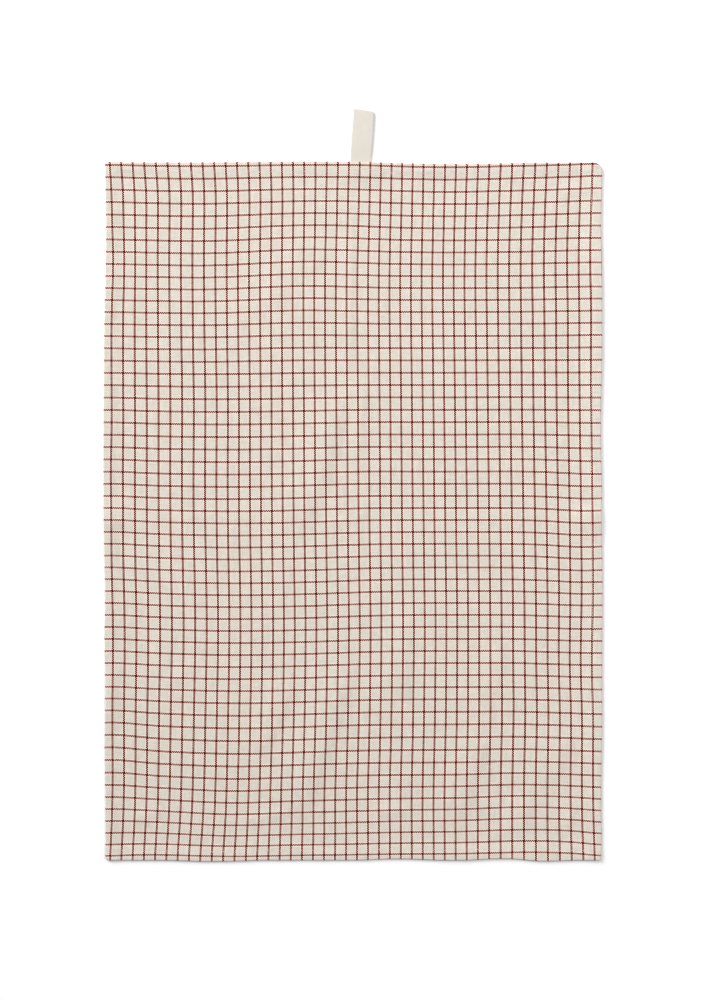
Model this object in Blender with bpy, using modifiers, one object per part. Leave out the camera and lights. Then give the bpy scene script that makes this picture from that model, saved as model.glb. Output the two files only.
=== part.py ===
"""A checked cotton tea towel, laid out flat with its face up, and the folded tape loop in its top hem.

Metres, +Z up. The towel lies on z = 0, centred on the origin, and +Y is the end that holds the loop.
"""

import math
from collections import namedtuple

import bmesh
import bpy

MM = 0.001

# The cloth, as cut and hemmed
TOWEL_WIDTH = 500 * MM
TOWEL_LENGTH = 700 * MM
CLOTH_THICK = 1.0 * MM  # one layer, with the air that the crimped yarns hold under it
HEM_THICK = 1.6 * MM  # three layers, pressed and sewn
HEM_WIDTH = 13 * MM  # from the edge in, to the middle of the step
HEM_STEP = 9 * MM  # the run over which the hem falls to one layer
EDGE_ROUND = 1.5 * MM  # the turned edge rolls off over this much
EDGE_LIFT = 0.35 * MM  # underside of the turned edge above the surface
EDGE_THICK = 1.0 * MM
CORNER_LINE = 5 * MM  # one more grid line, to carry the rounded corners
GRID_STEP = 9 * MM

# The loop: one tape, folded end to end, its two ends sewn into the hem
TAPE_WIDTH = 20 * MM
TAPE_THICK = 0.9 * MM
LOOP_REACH = 53.3 * MM  # from the hem's edge to the fold
LOOP_PLACE = 6.8 * MM  # to the right of the towel's middle, at the hem's edge
LOOP_LEAN = math.radians(-3.7)  # about +Z, so the loop leans to the right
ROOT_LENGTH = 10.5 * MM  # the sewn ends, under the hem
ROOT_THICK = 1.3 * MM  # both ends, pressed together by the seam
EYE_START = 16 * MM  # from the inner end of the root to where the two runs part
EYE_CLEAR = 4.8 * MM  # the eye's height inside the fold
EYE_BLUNT = 0.35 * MM  # the height at which the narrow end of the eye stops
FOLD_SIDES = 9  # an odd number, so one flat stands upright in the bend
RUN_STEPS = 10  # the upper run's slope, in this many straight pieces

SEAT_GAP = 0.3 * MM  # between the tape's ends and the hem that is sewn over them
POCKET_ROOM = 2.0 * MM  # beside and beyond the tape's ends, under the hem
POCKET_SLOPE = 10 * MM

# Each corner: which side of the middle it lies on, and its radius
Corner = namedtuple("Corner", "right up radius")
CORNERS = [
    Corner(-1, 1, 2.0 * MM),
    Corner(1, 1, 9.0 * MM),
    Corner(-1, -1, 3.5 * MM),
    Corner(1, -1, 2.0 * MM),
]

# Where an edge has crept out (or in, below zero): the place along it, and how far that reaches
Creep = namedtuple("Creep", "edge along reach out")
CREEPS = [
    Creep("left", 0 * MM, 900 * MM, 0.3 * MM),
    Creep("left", 280 * MM, 110 * MM, -1.7 * MM),
    Creep("left", 160 * MM, 90 * MM, 0.2 * MM),
    Creep("left", 50 * MM, 120 * MM, 0.8 * MM),
    Creep("left", -85 * MM, 50 * MM, -0.7 * MM),
    Creep("left", -180 * MM, 70 * MM, -0.7 * MM),
    Creep("left", -330 * MM, 120 * MM, -1.0 * MM),
    Creep("right", 0 * MM, 900 * MM, -0.9 * MM),
    Creep("right", 285 * MM, 70 * MM, -1.1 * MM),
    Creep("right", 85 * MM, 75 * MM, -1.4 * MM),
    Creep("right", -4 * MM, 22 * MM, -0.9 * MM),
    Creep("right", -85 * MM, 60 * MM, 0.4 * MM),
    Creep("right", -285 * MM, 75 * MM, -1.1 * MM),
    Creep("right", -355 * MM, 35 * MM, -1.2 * MM),
    Creep("top", -250 * MM, 90 * MM, 0.9 * MM),
    Creep("top", -45 * MM, 190 * MM, 1.3 * MM),
    Creep("top", 85 * MM, 95 * MM, -1.4 * MM),
    Creep("top", 230 * MM, 90 * MM, 0.3 * MM),
    Creep("bottom", 0 * MM, 900 * MM, -0.4 * MM),
    Creep("bottom", -140 * MM, 55 * MM, 1.3 * MM),
    Creep("bottom", 45 * MM, 45 * MM, -1.3 * MM),
    Creep("bottom", 150 * MM, 40 * MM, -1.6 * MM),
    Creep("bottom", 192 * MM, 35 * MM, 0.8 * MM),
]
CREEP_DEPTH = 90 * MM  # how far in from the edge the cloth follows

# Where a hem stands a little off the surface: the place along it, how far that reaches, and the height
Rise = namedtuple("Rise", "edge along reach up")
RISES = [
    Rise("right", 150 * MM, 330 * MM, 0.9 * MM),
    Rise("right", -230 * MM, 190 * MM, 0.4 * MM),
    Rise("bottom", 160 * MM, 150 * MM, 0.4 * MM),
]
RISE_DEPTH = 28 * MM  # how far in from the edge the cloth is lifted with it

# Soft ridges that the cloth keeps from its folding: both ends of the crest, its bow to the side, how far
# the gentle side reaches on the right hand of the run and the steep one on its left, and the height
Fold = namedtuple("Fold", "x0 y0 x1 y1 bow gentle steep high")
FOLDS = [
    Fold(-7 * MM, 144 * MM, -66 * MM, -42 * MM, -6 * MM, 38 * MM, 15 * MM, 1.0 * MM),
    Fold(-3 * MM, -130 * MM, -62 * MM, -316 * MM, -4 * MM, 44 * MM, 18 * MM, 1.2 * MM),
    Fold(-53 * MM, -160 * MM, -97 * MM, -252 * MM, 3 * MM, 26 * MM, 13 * MM, 0.8 * MM),
    Fold(52 * MM, -90 * MM, 49 * MM, -195 * MM, -2 * MM, 30 * MM, 10 * MM, 0.8 * MM),
    Fold(152 * MM, -128 * MM, 134 * MM, -200 * MM, 0 * MM, 28 * MM, 11 * MM, 0.7 * MM),
    Fold(134 * MM, -214 * MM, 102 * MM, -322 * MM, 2 * MM, 36 * MM, 12 * MM, 0.9 * MM),
    Fold(220 * MM, -214 * MM, 188 * MM, -288 * MM, -2 * MM, 40 * MM, 12 * MM, 0.8 * MM),
    Fold(175 * MM, -284 * MM, 162 * MM, -336 * MM, 0 * MM, 26 * MM, 11 * MM, 0.8 * MM),
    Fold(272 * MM, -4 * MM, 212 * MM, -6 * MM, 0 * MM, 14 * MM, 27 * MM, 1.4 * MM),
    Fold(-220 * MM, -9 * MM, -274 * MM, -10 * MM, 0 * MM, 26 * MM, 13 * MM, 1.0 * MM),
    Fold(240 * MM, 324 * MM, 202 * MM, 320 * MM, 0 * MM, 12 * MM, 9 * MM, 0.8 * MM),
]
FOLD_ENDS = 0.3  # share of a crest's length over which each end dies away


def soft(distance, reach):
    """One at no distance, falling smoothly to exactly nothing at the reach."""
    share = min(1.0, abs(distance) / reach)
    return (1 - share * share) ** 2


def ramp(distance, run):
    """One up to no distance, falling smoothly to nothing over the run."""
    share = min(1.0, max(0.0, distance / run))
    return 1 - share * share * (3 - 2 * share)


def clear_scene():
    for thing in list(bpy.data.objects):
        bpy.data.objects.remove(thing, do_unlink=True)


def make_material(name, colour, roughness):
    material = bpy.data.materials.new(name)
    material.use_nodes = True
    shader = material.node_tree.nodes["Principled BSDF"]
    shader.inputs["Base Color"].default_value = (*colour, 1)
    shader.inputs["Roughness"].default_value = roughness
    shader.inputs["Metallic"].default_value = 0
    material.diffuse_color = (*colour, 1)
    return material


def add_part(name, mesh, material, collection):
    part = bpy.data.objects.new(name, mesh)
    part.data.materials.append(material)
    collection.objects.link(part)
    return part


def grid_lines(span, kept):
    """Places along one side of the towel: the hem's own lines at both ends, the kept ones, and even steps."""
    hem = [0, EDGE_ROUND, CORNER_LINE, HEM_WIDTH - HEM_STEP / 2, HEM_WIDTH + HEM_STEP / 2]
    fixed = sorted([inset - span / 2 for inset in hem] + kept + [span / 2 - inset for inset in hem])
    lines = []
    for low, high in zip(fixed, fixed[1:]):
        steps = math.ceil((high - low) / GRID_STEP)
        lines += [low + (high - low) * step / steps for step in range(steps)]
    return lines + fixed[-1:]


def pocket_sides():
    """The lines between which the hem is lifted over the tape, and those where it lies flat again."""
    flat = TAPE_WIDTH / 2 + POCKET_ROOM
    foot = flat + POCKET_SLOPE
    return [LOOP_PLACE - foot, LOOP_PLACE - flat, LOOP_PLACE + flat, LOOP_PLACE + foot]


def pocket_end():
    """The line across the towel where the cloth starts to fall beyond the tape's ends."""
    return TOWEL_LENGTH / 2 - (ROOT_LENGTH + POCKET_ROOM)


def pocket_height(x, y):
    beside = abs(x - LOOP_PLACE) - (TAPE_WIDTH / 2 + POCKET_ROOM)
    beyond = pocket_end() - y
    return (ROOT_THICK + SEAT_GAP) * ramp(beside, POCKET_SLOPE) * ramp(beyond, POCKET_SLOPE)


def fold_height(x, y):
    """Height of the ridges at a place."""
    height = 0.0
    for fold in FOLDS:
        run_x = fold.x1 - fold.x0
        run_y = fold.y1 - fold.y0
        length = math.hypot(run_x, run_y)
        along = ((x - fold.x0) * run_x + (y - fold.y0) * run_y) / length**2
        aside = ((x - fold.x0) * run_y - (y - fold.y0) * run_x) / length
        if not 0 < along < 1:
            continue
        aside -= fold.bow * (1 - (2 * along - 1) ** 2)
        ends = ramp(FOLD_ENDS - min(along, 1 - along), FOLD_ENDS)
        side = fold.steep if aside < 0 else fold.gentle
        height += fold.high * soft(aside, side) * ends
    return height


def edge_inset(x, y):
    """Distance in from the nearest edge, measured before the edges creep."""
    return min(TOWEL_WIDTH / 2 - abs(x), TOWEL_LENGTH / 2 - abs(y))


def rise_height(x, y):
    """How far the hem stands off the surface at a place."""
    height = 0.0
    for rise in RISES:
        along, inset = (y, TOWEL_WIDTH / 2 - x) if rise.edge == "right" else (x, TOWEL_LENGTH / 2 + y)
        height += rise.up * soft(along - rise.along, rise.reach) * soft(inset, RISE_DEPTH)
    return height


def under_height(x, y):
    """Height of the cloth's underside above the surface that it lies on."""
    roll = EDGE_LIFT * soft(edge_inset(x, y), EDGE_ROUND)
    return roll + rise_height(x, y) + max(fold_height(x, y), pocket_height(x, y))


def thickness(x, y):
    inset = edge_inset(x, y)
    hem = CLOTH_THICK + (HEM_THICK - CLOTH_THICK) * ramp(inset - (HEM_WIDTH - HEM_STEP / 2), HEM_STEP)
    return hem - (HEM_THICK - EDGE_THICK) * soft(inset, EDGE_ROUND)


def crept(x, y):
    """The place of a point once the edges have crept and the corners are rounded."""
    for corner in CORNERS:
        past_x = x * corner.right - (TOWEL_WIDTH / 2 - corner.radius)
        past_y = y * corner.up - (TOWEL_LENGTH / 2 - corner.radius)
        if past_x > 0 and past_y > 0:
            pull = 1 - max(past_x, past_y) / math.hypot(past_x, past_y)
            x -= past_x * pull * corner.right
            y -= past_y * pull * corner.up
    out_x = 0.0
    out_y = 0.0
    for creep in CREEPS:
        if creep.edge in ("left", "right"):
            sign = 1 if creep.edge == "right" else -1
            inset = TOWEL_WIDTH / 2 - x * sign
            out_x += sign * creep.out * soft(y - creep.along, creep.reach) * soft(inset, CREEP_DEPTH)
        else:
            sign = 1 if creep.edge == "top" else -1
            inset = TOWEL_LENGTH / 2 - y * sign
            out_y += sign * creep.out * soft(x - creep.along, creep.reach) * soft(inset, CREEP_DEPTH)
    return x + out_x, y + out_y


def make_cloth(collection):
    """The towel with its hems: one sheet, thicker all round where its edge is turned twice."""
    columns = grid_lines(TOWEL_WIDTH, pocket_sides())
    rows = grid_lines(TOWEL_LENGTH, [pocket_end() - POCKET_SLOPE, pocket_end()])
    shape = bmesh.new()
    bmesh.ops.create_grid(shape, x_segments=len(columns) - 1, y_segments=len(rows) - 1, size=1)
    weights = []
    for vert in shape.verts:
        x = columns[round((vert.co.x + 1) / 2 * (len(columns) - 1))]
        y = rows[round((vert.co.y + 1) / 2 * (len(rows) - 1))]
        vert.co = (*crept(x, y), under_height(x, y))
        weights.append((thickness(x, y) - CLOTH_THICK) / (HEM_THICK - CLOTH_THICK))
    mesh = bpy.data.meshes.new("towel_cloth")
    shape.to_mesh(mesh)
    shape.free()
    mesh.shade_smooth()

    cloth = add_part("towel_cloth", mesh, make_material("checked_cotton", (0.74, 0.62, 0.55), 0.95), collection)
    turned = cloth.vertex_groups.new(name="turned_layers")
    for index, weight in enumerate(weights):
        turned.add([index], weight, "REPLACE")
    layers = cloth.modifiers.new("layers", "SOLIDIFY")
    layers.thickness = HEM_THICK
    layers.offset = 1
    layers.vertex_group = turned.name
    layers.thickness_vertex_group = CLOTH_THICK / HEM_THICK
    return cloth


def bend(centre, radius):
    """Points round the fold, from its lowest to its highest, about a centre."""
    points = []
    for side in range(FOLD_SIDES + 1):
        angle = math.pi * (side / FOLD_SIDES - 0.5)
        points.append((centre[0] + radius * math.cos(angle), centre[1] + radius * math.sin(angle)))
    return points


def slope(start, end):
    """Points of a soft S from one place to another, without the first."""
    points = []
    for step in range(1, RUN_STEPS + 1):
        share = step / RUN_STEPS
        rise = 1 - ramp(share, 1)
        points.append((start[0] + (end[0] - start[0]) * share, start[1] + (end[1] - start[1]) * rise))
    return points


def loop_outlines():
    """Outside and eye of the folded tape, seen from its side: along the tape, and up."""
    outer = EYE_CLEAR / 2 + TAPE_THICK
    centre = (ROOT_LENGTH + LOOP_REACH - outer, outer)
    outside = [(0, 0)] + bend(centre, outer)
    outside += slope(outside[-1], (EYE_START - TAPE_THICK, ROOT_THICK)) + [(0, ROOT_THICK)]
    eye = bend(centre, EYE_CLEAR / 2)
    eye += slope(eye[-1], (EYE_START, TAPE_THICK + EYE_BLUNT)) + [(EYE_START, TAPE_THICK)]
    return outside, eye


def make_loop(collection):
    """The hanging loop: its outline from the side, drawn as a flat curve and given the tape's width."""
    outline = bpy.data.curves.new("hang_loop", "CURVE")
    outline.dimensions = "2D"
    outline.fill_mode = "BOTH"
    outline.extrude = TAPE_WIDTH / 2
    for points in loop_outlines():
        spline = outline.splines.new("POLY")
        spline.points.add(len(points) - 1)
        for point, (along, up) in zip(spline.points, points):
            point.co = (along, up, 0, 1)
        spline.use_cyclic_u = True
    loop = add_part("hang_loop", outline, make_material("woven_tape", (0.76, 0.71, 0.62), 0.9), collection)

    # The outline's own X runs up the towel and its Y stands up from the surface
    root = TOWEL_LENGTH / 2 - ROOT_LENGTH
    loop.rotation_euler = (math.pi / 2, 0, math.pi / 2 + LOOP_LEAN)
    loop.location = (LOOP_PLACE + ROOT_LENGTH * math.sin(LOOP_LEAN), root, 0)
    return loop


def main():
    clear_scene()
    collection = bpy.data.collections.new("tea_towel")
    bpy.context.scene.collection.children.link(collection)
    middle = bpy.data.objects.new("towel_middle", None)
    collection.objects.link(middle)
    for part in (make_cloth(collection), make_loop(collection)):
        part.parent = middle


main()
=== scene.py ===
"""A checked cotton tea towel laid out flat with its face up, and the folded tape loop in its top hem.

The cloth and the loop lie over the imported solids, and repeat their sizes and folds. Metres, +Z up.
"""

import bisect
import math
import random
from collections import namedtuple

import bpy
from mathutils import Matrix, Vector


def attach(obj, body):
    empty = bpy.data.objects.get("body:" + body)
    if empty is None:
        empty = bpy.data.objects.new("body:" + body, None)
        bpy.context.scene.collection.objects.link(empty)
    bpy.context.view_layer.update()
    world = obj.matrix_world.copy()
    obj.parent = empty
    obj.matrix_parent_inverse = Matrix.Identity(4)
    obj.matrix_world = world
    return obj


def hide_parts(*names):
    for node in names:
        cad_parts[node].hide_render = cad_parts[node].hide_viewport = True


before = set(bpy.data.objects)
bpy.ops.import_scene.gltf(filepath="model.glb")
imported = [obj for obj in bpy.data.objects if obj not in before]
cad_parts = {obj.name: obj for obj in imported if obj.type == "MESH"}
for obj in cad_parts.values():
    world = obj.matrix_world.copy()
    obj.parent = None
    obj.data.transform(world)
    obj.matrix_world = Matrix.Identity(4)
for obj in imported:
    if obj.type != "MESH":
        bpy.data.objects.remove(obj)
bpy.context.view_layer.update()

MM = 0.001

# The cloth, as cut and hemmed
TOWEL_WIDTH = 500 * MM
TOWEL_LENGTH = 700 * MM
CLOTH_THICK = 1.0 * MM
HEM_THICK = 1.6 * MM
HEM_FLAT = 8.0 * MM  # the three layers, from the edge in
HEM_FALL = 11.0 * MM  # the run over which the face falls from the hem to the field
HEM_UNEVEN = 0.6  # how much that run changes along the hem
HEM_WAVES = [47 * MM, 83 * MM, 151 * MM]  # the lengths of the waves in that change
HEM_TURN = 12 * MM  # the turned strip's inner edge, on the underside
TURN_STEP = 0.35 * MM  # underside of the field above that of the hem, beside the turned strip
TURN_CLIFF = 0.1 * MM  # past the strip's edge, where that step begins
TURN_RUN = 5 * MM  # over which the field settles back
EDGE_RADIUS = 0.8 * MM
EDGE_WALL = 0.2 * MM  # the upright left at the very edge of the round
CORNER_LAYERS = 0.35 * MM  # more thickness where two hems cross
CORNER_SOFT = 3 * MM
GRID_STEP = 3.3 * MM
FINE_STEP = 1.2 * MM  # along the creases of the old fold, up and across the middle
FINE_COLUMNS = [-8 * MM, 14 * MM]
FINE_ROWS = [-18 * MM, 2 * MM]
# Grid lines in from each edge, close together where the edge rounds and the seam runs
EDGE_STEPS = (0, 0.12, 0.4, 0.9, 1.6, 3, 4.6, 6.4, 8.2, 9.5, 10.1, 10.7, 12, 12.3, 14, 16)
EDGE_LINES = [inset * MM for inset in EDGE_STEPS]

# The seam that holds the hem
SEAM_INSET = 10.1 * MM
SEAM_DENT = 0.12 * MM  # how deep the thread pulls the cloth in
SEAM_DENT_HALF = 1.5 * MM  # half the dent's width
UNDER_DENT = 0.5  # the dent on the underside, as a share of that on the face
PUCKER = 0.12 * MM  # the height of the small waves that the seam gathers up
PUCKER_WAVES = [11 * MM, 17 * MM, 31 * MM]
PUCKER_LEAN_X = 0.4  # so that no wave runs square to the hem
PUCKER_LEAN_Y = 0.3

# The stitches
STITCH_PITCH = 3.0 * MM
STITCH_LENGTH = 2.5 * MM
STITCH_FLAT = 0.5  # share of a stitch's length that lies flat, between its dipping ends
STITCH_DIP = 1.1  # how far the ends go into the cloth, in thread radii
STITCH_TIP = (1, 0.6, 0.5)  # the size of each end, as shares of the middle's
STITCH_SUNK = 0.02 * MM  # how deep a stitch's middle line lies in the face
STITCH_SUNK_UNDER = 0.1 * MM  # and in the underside
STITCH_SKEW = 0.03  # the usual turn of a stitch out of its row, in radians
THREAD_RADIUS = 0.2 * MM
THREAD_SIDES = 6
THREAD_UNEVEN = 0.1  # how much its girth changes from stitch to stitch
UNDER_GIRTH = 0.5  # the thread is pressed flatter on the underside
SEAM_SEED = 3
BAR_SEED = 4

# The loop: one tape, folded end to end, its two ends sewn into the hem
TAPE_WIDTH = 20 * MM
TAPE_THICK = 0.4 * MM
TAPE_LINES = [inset * MM for inset in (0, 0.15, 1.2, 2.6, 4.4, 6.2, 8.1)]  # in from each selvedge
LOOP_REACH = 53.3 * MM  # from the hem's edge to the fold
LOOP_PLACE = 6.8 * MM  # to the right of the towel's middle, at the hem's edge
LOOP_LEAN = math.radians(-3.7)  # about +Z, so the loop leans to the right
ROOT_LENGTH = 10.5 * MM  # the sewn ends, under the hem
EYE_START = 11 * MM  # from the inner end of the root to where the two runs part
FOLD_HIGH = 2.0 * MM  # over both runs, at the fold
FOLD_REACH = 25 * MM  # how far back from the fold its slant and its draw are felt
FOLD_SKEW = 0.075  # the fold's run along the tape for each step across it
FOLD_CORNER = 2.4 * MM  # how far the right corner of the fold is rolled round
FOLD_CORNER_PULL = 1.1 * MM
FOLD_CORNER_RUN = 8 * MM  # how far back from the fold that roll reaches
FOLD_NARROW = 0.15 * MM  # how far each selvedge draws in at the fold
TAPE_CUP = 0.1 * MM  # how far the upper run's selvedges turn down
LOWER_STEPS = 24  # steps along the tape: the lower run, the fold, the upper run and its sewn end
FOLD_STEPS = 16
UPPER_STEPS = 20
ROOT_STEPS = 8
BAR_INSET = 7.6 * MM  # the second row of stitches, over the tape's ends
BAR_STITCHES = 7

POCKET_LIFT = 0.85 * MM  # the hem over the tape's ends
POCKET_ROOM = 2.0 * MM  # how far past the tape that lift stays whole
POCKET_SLOPE = 16 * MM  # and the run over which it dies away

# Each corner: which side of the middle it lies on, and its radius
Corner = namedtuple("Corner", "right up radius")
CORNERS = [
    Corner(-1, 1, 2.0 * MM),
    Corner(1, 1, 9.0 * MM),
    Corner(-1, -1, 3.5 * MM),
    Corner(1, -1, 2.0 * MM),
]

# Where an edge has crept out (or in, below zero): the place along it, and how far that reaches
Creep = namedtuple("Creep", "edge along reach out")
CREEPS = [
    Creep("left", 0 * MM, 900 * MM, 0.3 * MM),
    Creep("left", 280 * MM, 110 * MM, -1.7 * MM),
    Creep("left", 160 * MM, 90 * MM, 0.2 * MM),
    Creep("left", 50 * MM, 120 * MM, 0.8 * MM),
    Creep("left", -85 * MM, 50 * MM, -0.7 * MM),
    Creep("left", -180 * MM, 70 * MM, -0.7 * MM),
    Creep("left", -330 * MM, 120 * MM, -1.0 * MM),
    Creep("right", 0 * MM, 900 * MM, -0.9 * MM),
    Creep("right", 285 * MM, 70 * MM, -1.1 * MM),
    Creep("right", 85 * MM, 75 * MM, -1.4 * MM),
    Creep("right", -4 * MM, 22 * MM, -0.9 * MM),
    Creep("right", -85 * MM, 60 * MM, 0.4 * MM),
    Creep("right", -285 * MM, 75 * MM, -1.1 * MM),
    Creep("right", -355 * MM, 35 * MM, -1.2 * MM),
    Creep("top", -250 * MM, 90 * MM, 0.9 * MM),
    Creep("top", -45 * MM, 190 * MM, 1.3 * MM),
    Creep("top", 85 * MM, 95 * MM, -1.4 * MM),
    Creep("top", 230 * MM, 90 * MM, 0.3 * MM),
    Creep("bottom", 0 * MM, 900 * MM, -0.4 * MM),
    Creep("bottom", -140 * MM, 55 * MM, 1.3 * MM),
    Creep("bottom", 45 * MM, 45 * MM, -1.3 * MM),
    Creep("bottom", 150 * MM, 40 * MM, -1.6 * MM),
    Creep("bottom", 192 * MM, 35 * MM, 0.8 * MM),
]
CREEP_DEPTH = 90 * MM  # how far in from the edge the cloth follows

# Where a hem stands a little off the surface: the place along it, how far that reaches, and the height
Rise = namedtuple("Rise", "edge along reach up")
RISES = [
    Rise("right", 150 * MM, 330 * MM, 0.9 * MM),
    Rise("right", -230 * MM, 190 * MM, 0.4 * MM),
    Rise("bottom", 160 * MM, 150 * MM, 0.4 * MM),
]
RISE_DEPTH = 28 * MM  # how far in from the edge the cloth is lifted with it

# Soft ridges that the cloth keeps from its folding: both ends of the crest, its bow to the side, how far
# the gentle side reaches on the right hand of the run and the steep one on its left, and the height
Fold = namedtuple("Fold", "x0 y0 x1 y1 bow gentle steep high")
FOLDS = [
    Fold(-7 * MM, 144 * MM, -66 * MM, -42 * MM, -6 * MM, 38 * MM, 15 * MM, 1.0 * MM),
    Fold(-3 * MM, -130 * MM, -62 * MM, -316 * MM, -4 * MM, 44 * MM, 18 * MM, 1.2 * MM),
    Fold(-53 * MM, -160 * MM, -97 * MM, -252 * MM, 3 * MM, 26 * MM, 13 * MM, 0.8 * MM),
    Fold(52 * MM, -90 * MM, 49 * MM, -195 * MM, -2 * MM, 30 * MM, 10 * MM, 0.8 * MM),
    Fold(152 * MM, -128 * MM, 134 * MM, -200 * MM, 0 * MM, 28 * MM, 11 * MM, 0.7 * MM),
    Fold(134 * MM, -214 * MM, 102 * MM, -322 * MM, 2 * MM, 36 * MM, 12 * MM, 0.9 * MM),
    Fold(220 * MM, -214 * MM, 188 * MM, -288 * MM, -2 * MM, 40 * MM, 12 * MM, 0.8 * MM),
    Fold(175 * MM, -284 * MM, 162 * MM, -336 * MM, 0 * MM, 26 * MM, 11 * MM, 0.8 * MM),
    Fold(272 * MM, -4 * MM, 212 * MM, -6 * MM, 0 * MM, 14 * MM, 27 * MM, 1.4 * MM),
    Fold(-220 * MM, -9 * MM, -274 * MM, -10 * MM, 0 * MM, 26 * MM, 13 * MM, 1.0 * MM),
    Fold(240 * MM, 324 * MM, 202 * MM, 320 * MM, 0 * MM, 12 * MM, 9 * MM, 0.8 * MM),
]
FOLD_ENDS = 0.3  # share of a crest's length over which each end dies away

# Fine creases in the face, a row each as above: ridges above zero, troughs below it
CREASES = [
    Fold(-2 * MM, 315 * MM, -3 * MM, 135 * MM, 0 * MM, 14 * MM, 5 * MM, 0.5 * MM),
    Fold(8 * MM, 140 * MM, 7 * MM, 32 * MM, 0 * MM, 16 * MM, 6 * MM, 0.6 * MM),
    Fold(-165 * MM, 55 * MM, -164 * MM, -30 * MM, 0 * MM, 14 * MM, 7 * MM, 0.3 * MM),
    Fold(10 * MM, 14 * MM, 9 * MM, -10 * MM, 0 * MM, 10 * MM, 6 * MM, 0.4 * MM),
    Fold(0 * MM, -10 * MM, -30 * MM, -12 * MM, 0 * MM, 8 * MM, 9 * MM, 0.4 * MM),
    Fold(-30 * MM, -6 * MM, -240 * MM, -7 * MM, 0 * MM, 10 * MM, 5 * MM, 0.22 * MM),
    Fold(240 * MM, -6 * MM, 20 * MM, -7 * MM, 0 * MM, 10 * MM, 5 * MM, 0.16 * MM),
    Fold(222 * MM, -285 * MM, 217 * MM, -322 * MM, 0 * MM, 14 * MM, 8 * MM, 0.8 * MM),
    Fold(90 * MM, 343 * MM, 60 * MM, 343 * MM, 0 * MM, 8 * MM, 6 * MM, 0.5 * MM),
    Fold(-60 * MM, -300 * MM, -118 * MM, -314 * MM, 0 * MM, 10 * MM, 9 * MM, 0.6 * MM),
    Fold(60 * MM, -300 * MM, 14 * MM, -302 * MM, 0 * MM, 10 * MM, 9 * MM, 0.5 * MM),
    Fold(-30 * MM, 275 * MM, -125 * MM, 180 * MM, 0 * MM, 30 * MM, 20 * MM, 0.35 * MM),
    Fold(-160 * MM, -150 * MM, -190 * MM, -180 * MM, 0 * MM, 12 * MM, 8 * MM, 0.45 * MM),
    Fold(-26 * MM, 262 * MM, -42 * MM, 240 * MM, 0 * MM, 10 * MM, 6 * MM, 0.35 * MM),
    Fold(-188 * MM, -300 * MM, -227 * MM, -310 * MM, 0 * MM, 12 * MM, 9 * MM, 0.6 * MM),
    Fold(-240 * MM, -150 * MM, -246 * MM, -215 * MM, 0 * MM, 10 * MM, 8 * MM, 0.5 * MM),
]

# The check: how far in from the left or top edge its first line lies, the pitch from line to line,
# and stretches where the weave is wider, about a line and over a number of lines to each side
Ease = namedtuple("Ease", "line reach wider")
WARP_FIRST = 7.4 * MM
WARP_PITCH = 10.87 * MM
WARP_LINES = 45
WARP_EASES = [Ease(3.5, 11.4, 0.87 * MM), Ease(38.5, 8.4, 0.8 * MM)]
WEFT_FIRST = 3.02 * MM
WEFT_PITCH = 11.88 * MM
WEFT_LINES = 58
WEFT_EASES = [
    Ease(2.5, 10, 0.5 * MM),
    Ease(20.5, 12.5, 0.66 * MM),
    Ease(46.8, 4.5, 0.85 * MM),
    Ease(40, 5, 0.2 * MM),
    Ease(57, 8.5, -1.0 * MM),
]

# Where the cloth's threads are pulled out of line: the middle of the pull, its reach across and
# along the towel, and the shift at its middle, to the right for the warp and up for the weft
Pull = namedtuple("Pull", "x y reach_x reach_y shift")
WARP_PULLS = [
    Pull(0 * MM, -120 * MM, 500 * MM, 85 * MM, 1.3 * MM),
    Pull(193 * MM, 240 * MM, 170 * MM, 85 * MM, -2.7 * MM),
    Pull(-160 * MM, 260 * MM, 90 * MM, 60 * MM, -0.8 * MM),
    Pull(-200 * MM, 360 * MM, 90 * MM, 30 * MM, -2.9 * MM),
    Pull(-243 * MM, 250 * MM, 25 * MM, 40 * MM, 1.8 * MM),
    Pull(0 * MM, 355 * MM, 45 * MM, 30 * MM, 1.3 * MM),
    Pull(-105 * MM, 360 * MM, 60 * MM, 30 * MM, -0.8 * MM),
    Pull(0 * MM, 305 * MM, 70 * MM, 45 * MM, 0.7 * MM),
    Pull(0 * MM, 170 * MM, 600 * MM, 90 * MM, -0.5 * MM),
    Pull(215 * MM, 100 * MM, 130 * MM, 80 * MM, -1.1 * MM),
    Pull(240 * MM, 205 * MM, 80 * MM, 40 * MM, 0.8 * MM),
    Pull(190 * MM, -200 * MM, 75 * MM, 40 * MM, 0.9 * MM),
    Pull(-252 * MM, 41 * MM, 25 * MM, 30 * MM, -1.0 * MM),
    Pull(170 * MM, 355 * MM, 80 * MM, 30 * MM, 0.9 * MM),
    Pull(-150 * MM, -350 * MM, 85 * MM, 45 * MM, -3.2 * MM),
    Pull(-20 * MM, -290 * MM, 150 * MM, 50 * MM, -1.5 * MM),
    Pull(200 * MM, -260 * MM, 90 * MM, 90 * MM, 1.0 * MM),
    Pull(248 * MM, -175 * MM, 30 * MM, 110 * MM, -1.0 * MM),
    Pull(-160 * MM, -365 * MM, 130 * MM, 36 * MM, -1.5 * MM),
    Pull(0 * MM, -365 * MM, 100 * MM, 36 * MM, -0.9 * MM),
    Pull(240 * MM, -365 * MM, 55 * MM, 50 * MM, 2.1 * MM),
    Pull(-250 * MM, -275 * MM, 45 * MM, 55 * MM, 0.9 * MM),
    Pull(-243 * MM, -40 * MM, 30 * MM, 60 * MM, -0.9 * MM),
    Pull(-150 * MM, 110 * MM, 50 * MM, 50 * MM, 0.7 * MM),
    Pull(-160 * MM, -110 * MM, 70 * MM, 70 * MM, 0.6 * MM),
    Pull(228 * MM, -150 * MM, 30 * MM, 50 * MM, -1.2 * MM),
    Pull(252 * MM, 190 * MM, 10 * MM, 80 * MM, 2.0 * MM),
]
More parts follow.
